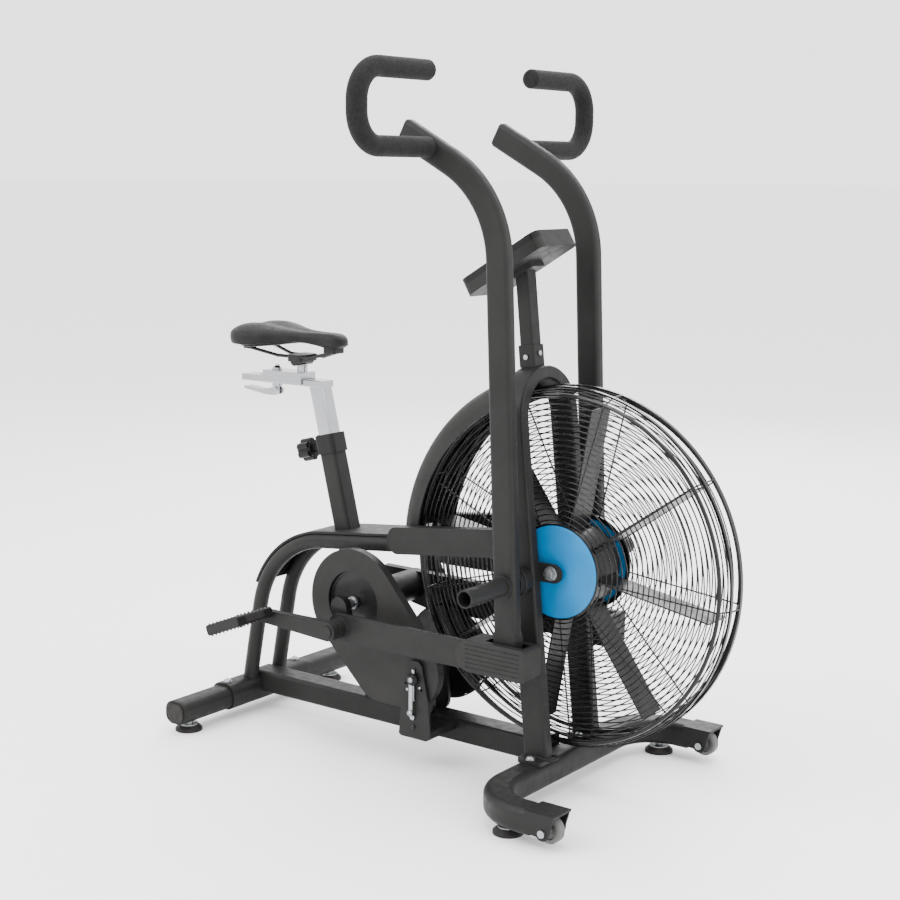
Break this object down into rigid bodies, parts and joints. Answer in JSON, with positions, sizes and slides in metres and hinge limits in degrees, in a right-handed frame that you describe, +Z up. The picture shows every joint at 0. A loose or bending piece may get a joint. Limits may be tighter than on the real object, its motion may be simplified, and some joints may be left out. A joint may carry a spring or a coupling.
{
  "type": "air bike",
  "caption": "Upright air bike with a large wire-caged fan in front, an adjustable saddle, pedals, and two swinging arms linked to the cranks.",
  "frame": {"origin": "on the floor, under the middle of the machine's overall length and width", "axes": "+X to the front (fan end), +Y to the rider's left, +Z up; +Z is the longest extent and +Y the shortest"},
  "size_m": [1.184, 0.77, 1.367],
  "materials": {
    "frame_black": "matte charcoal powder coat",
    "cover_grey": "fine-textured dark grey plastic",
    "gloss_black": "gloss black plastic",
    "wire_black": "gloss black dipped wire",
    "disc_blue": "gloss blue plastic",
    "chrome": "bright chrome plate",
    "zinc": "zinc-plated steel",
    "foam": "closed-cell foam sleeve",
    "rubber_black": "black rubber",
    "vinyl": "black vinyl over foam",
    "tread_grey": "grey rubber tread",
    "screen": "dark display window",
    "button_green": "green moulded key",
    "button_red": "red moulded key",
    "black_steel": "black coated steel"
  },
  "bodies": {
    "frame": {"bottom_tube": "frame_black", "rear_stabilizer": "frame_black", "stabilizer_caps": "rubber_black", "front_stabilizer": "frame_black", "foot_pads": "rubber_black", "foot_studs": "zinc", "rear_arches": "frame_black", "top_deck": "frame_black", "seat_tube": "frame_black", "seat_collar": "gloss_black", "side_rails": "frame_black", "hoop": "frame_black", "fender": "cover_grey", "console_post": "frame_black", "console_case": "cover_grey", "console_face": "gloss_black", "console_screen": "screen", "cage_right": "wire_black", "cage_left": "wire_black", "hub_discs": "disc_blue", "fan_axle": "zinc", "chain_cover": "cover_grey", "drive_frame": "frame_black", "tensioner_bracket": "frame_black", "foot_pegs": "frame_black", "frame_bolts": "zinc", "drive_bearings": "zinc", "drive_chain": "zinc", "drive_belt": "rubber_black"},
    "fan": {"fan_hub": "gloss_black", "fan_blades": "black_steel", "fan_pulley": "zinc", "fan_bearings": "zinc"},
    "crank": {"crank_axle": "zinc", "crank_throws": "black_steel", "pedal_cranks": "frame_black", "drive_sprocket": "black_steel"},
    "jackshaft": {"jackshaft": "zinc", "drum_pulley": "black_steel"},
    "pedal_right": {"pedal_right": "gloss_black"},
    "pedal_left": {"pedal_left": "gloss_black"},
    "arm_right": {"arm_right": "frame_black", "grip_right": "foam"},
    "arm_left": {"arm_left": "frame_black", "grip_left": "foam"},
    "link_right": {"link_right": "frame_black", "link_cover_right": "cover_grey"},
    "link_left": {"link_left": "frame_black", "link_cover_left": "cover_grey"},
    "seat_post": {"seat_post": "chrome", "seat_rail": "chrome"},
    "saddle_slider": {"saddle_slider": "chrome"},
    "saddle": {"saddle_clamp": "black_steel", "saddle": "vinyl"},
    "qr_lever": {"qr_lever": "chrome"},
    "height_knob": {"height_knob": "gloss_black"},
    "wheel_right": {"transport_wheel_right": "tread_grey"},
    "wheel_left": {"transport_wheel_left": "tread_grey"},
    "start_button": {"start_button": "button_green"},
    "stop_button": {"stop_button": "button_red"}
  },
  "joints": [
    {"name": "crank_spin", "type": "hinge", "parent": "frame", "child": "crank", "pos_m": [-0.196, 0, 0.313], "axis": [0, 1, 0], "continuous": true},
    {"name": "jackshaft_spin", "type": "hinge", "parent": "frame", "child": "jackshaft", "pos_m": [-0.094, 0, 0.19], "axis": [0, 1, 0], "continuous": true},
    {"name": "fan_spin", "type": "hinge", "parent": "frame", "child": "fan", "pos_m": [0.247, 0, 0.432], "axis": [0, 1, 0], "continuous": true},
    {"name": "pedal_right_spin", "type": "hinge", "parent": "crank", "child": "pedal_right", "pos_m": [-0.36265, -0.272, 0.2794], "axis": [0, 1, 0], "continuous": true},
    {"name": "pedal_left_spin", "type": "hinge", "parent": "crank", "child": "pedal_left", "pos_m": [-0.02935, 0.272, 0.3466], "axis": [0, 1, 0], "continuous": true},
    {"name": "arm_right_swing", "type": "hinge", "parent": "frame", "child": "arm_right", "pos_m": [0.199, -0.15, 0.417], "axis": [0, 1, 0], "range_deg": [-16, 16]},
    {"name": "arm_left_swing", "type": "hinge", "parent": "frame", "child": "arm_left", "pos_m": [0.199, 0.15, 0.417], "axis": [0, 1, 0], "range_deg": [-16, 16]},
    {"name": "link_right_swing", "type": "hinge", "parent": "arm_right", "child": "link_right", "pos_m": [0.20522, -0.15, 0.27213], "axis": [0, 1, 0], "range_deg": [-16, 16]},
    {"name": "link_left_swing", "type": "hinge", "parent": "arm_left", "child": "link_left", "pos_m": [0.20522, 0.15, 0.27213], "axis": [0, 1, 0], "range_deg": [-16, 16]},
    {"name": "seat_height", "type": "slide", "parent": "frame", "child": "seat_post", "axis": [-0.2436, 0, 0.9699], "range_m": [-0.08, 0.11]},
    {"name": "saddle_slide", "type": "slide", "parent": "seat_post", "child": "saddle_slider", "axis": [1, 0, 0], "range_m": [-0.03, 0.03]},
    {"name": "saddle_tilt", "type": "hinge", "parent": "saddle_slider", "child": "saddle", "pos_m": [-0.434, 0, 0.774], "axis": [0, 1, 0], "range_deg": [-12, 12]},
    {"name": "qr_lever_swing", "type": "hinge", "parent": "saddle_slider", "child": "qr_lever", "pos_m": [-0.505, 0, 0.704], "axis": [0, -1, 0], "range_deg": [0, 100]},
    {"name": "knob_pull", "type": "slide", "parent": "frame", "child": "height_knob", "axis": [-0.9699, 0, -0.2436], "range_m": [0, 0.008], "stiffness_N_per_m": 900},
    {"name": "wheel_right_spin", "type": "hinge", "parent": "frame", "child": "wheel_right", "pos_m": [0.392, -0.284, 0.036], "axis": [0, 1, 0], "continuous": true},
    {"name": "wheel_left_spin", "type": "hinge", "parent": "frame", "child": "wheel_left", "pos_m": [0.392, 0.284, 0.036], "axis": [0, 1, 0], "continuous": true},
    {"name": "start_press", "type": "slide", "parent": "frame", "child": "start_button", "axis": [0.515, 0, -0.8572], "range_m": [0, 0.0018], "stiffness_N_per_m": 400},
    {"name": "stop_press", "type": "slide", "parent": "frame", "child": "stop_button", "axis": [0.515, 0, -0.8572], "range_m": [0, 0.0018], "stiffness_N_per_m": 400}
  ],
  "couplings": [
    {"joint": "jackshaft_spin", "follows": "crank_spin", "ratio": 3.1429},
    {"joint": "fan_spin", "follows": "crank_spin", "ratio": 9.4286},
    {"joint": "arm_left_swing", "follows": "arm_right_swing", "ratio": -1},
    {"joint": "link_right_swing", "follows": "arm_right_swing", "ratio": -1},
    {"joint": "link_left_swing", "follows": "arm_right_swing", "ratio": 1}
  ]
}
